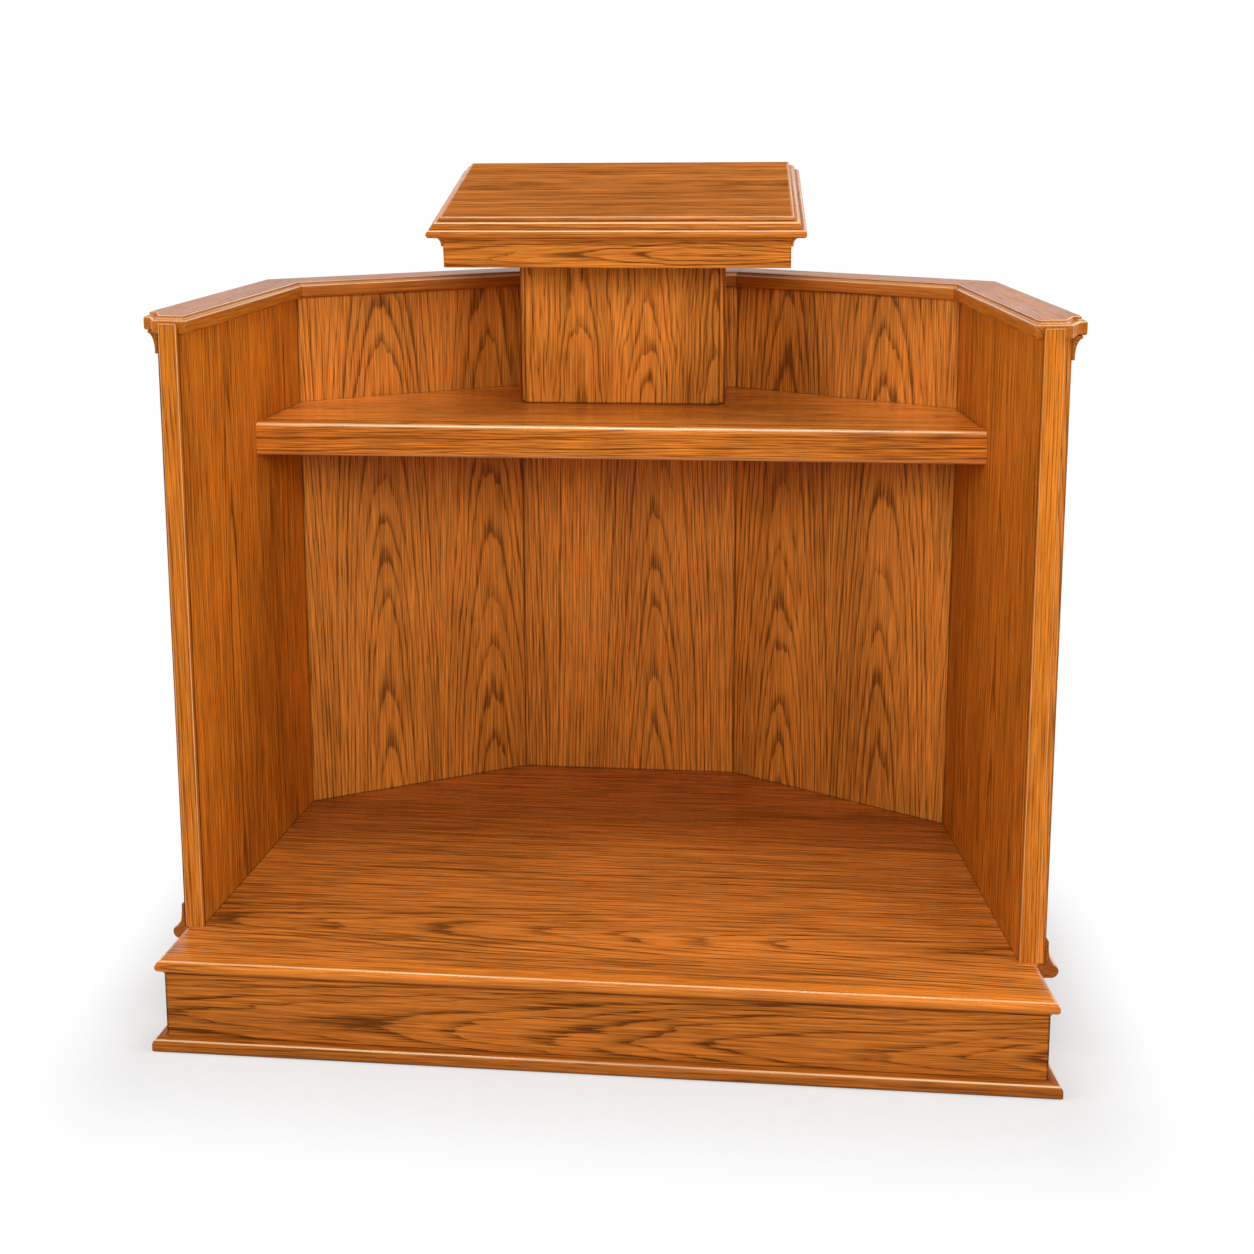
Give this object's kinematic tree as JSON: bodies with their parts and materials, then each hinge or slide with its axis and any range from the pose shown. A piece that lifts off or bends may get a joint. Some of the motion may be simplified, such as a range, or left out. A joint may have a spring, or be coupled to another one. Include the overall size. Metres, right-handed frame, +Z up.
{
  "type": "pulpit",
  "caption": "Free-standing oak pulpit: mitred walls under a moulded cap rail on a low platform, with an inner shelf and a sloping reading desk on a box column.",
  "frame": {"origin": "centre of the footprint, on the floor", "axes": "+X to the speaker's right, +Y from the open speaker's side towards the listeners, +Z up"},
  "size_m": [1.4074, 0.9096, 1.3241],
  "materials": {
    "panel_oak": "golden oak veneer, flat sawn, satin varnish",
    "moulding_oak": "solid golden oak, satin varnish",
    "deck_oak": "golden oak boards, satin varnish",
    "desk_oak": "golden oak, satin varnish",
    "framing_pine": "bare softwood, hidden"
  },
  "bodies": {
    "root": {"apron_back": "desk_oak", "apron_front": "desk_oak", "apron_left": "desk_oak", "apron_right": "desk_oak", "base_mould_centre": "moulding_oak", "base_mould_left_diagonal": "moulding_oak", "base_mould_left_wing": "moulding_oak", "base_mould_right_diagonal": "moulding_oak", "base_mould_right_wing": "moulding_oak", "bed_mould_centre": "moulding_oak", "bed_mould_left_diagonal": "moulding_oak", "bed_mould_left_wing": "moulding_oak", "bed_mould_right_diagonal": "moulding_oak", "bed_mould_right_wing": "moulding_oak", "cap_centre": "moulding_oak", "cap_left_diagonal": "moulding_oak", "cap_left_wing": "moulding_oak", "cap_right_diagonal": "moulding_oak", "cap_right_wing": "moulding_oak", "cleat_centre": "framing_pine", "cleat_left": "framing_pine", "cleat_right": "framing_pine", "column_back": "panel_oak", "column_front": "panel_oak", "column_left": "panel_oak", "column_right": "panel_oak", "deck": "deck_oak", "deck_joist": "framing_pine", "deck_nosing": "deck_oak", "desk_bead_front": "desk_oak", "desk_cove_left": "desk_oak", "desk_cove_right": "desk_oak", "desk_head_block": "framing_pine", "desk_top": "desk_oak", "edge_strip_left": "moulding_oak", "edge_strip_right": "moulding_oak", "facing_centre": "panel_oak", "facing_left_diagonal": "panel_oak", "facing_left_wing": "panel_oak", "facing_right_diagonal": "panel_oak", "facing_right_wing": "panel_oak", "shelf_edge": "desk_oak", "shelf_panel": "desk_oak", "shoe_centre": "moulding_oak", "shoe_front": "moulding_oak", "shoe_left_diagonal": "moulding_oak", "shoe_left_wing": "moulding_oak", "shoe_right_diagonal": "moulding_oak", "shoe_right_wing": "moulding_oak", "skirting_centre": "panel_oak", "skirting_front": "panel_oak", "skirting_left_diagonal": "panel_oak", "skirting_left_wing": "panel_oak", "skirting_right_diagonal": "panel_oak", "skirting_right_wing": "panel_oak", "wall_centre": "panel_oak", "wall_left_diagonal": "panel_oak", "wall_left_wing": "panel_oak", "wall_right_diagonal": "panel_oak", "wall_right_wing": "panel_oak"}
  },
  "joints": []
}
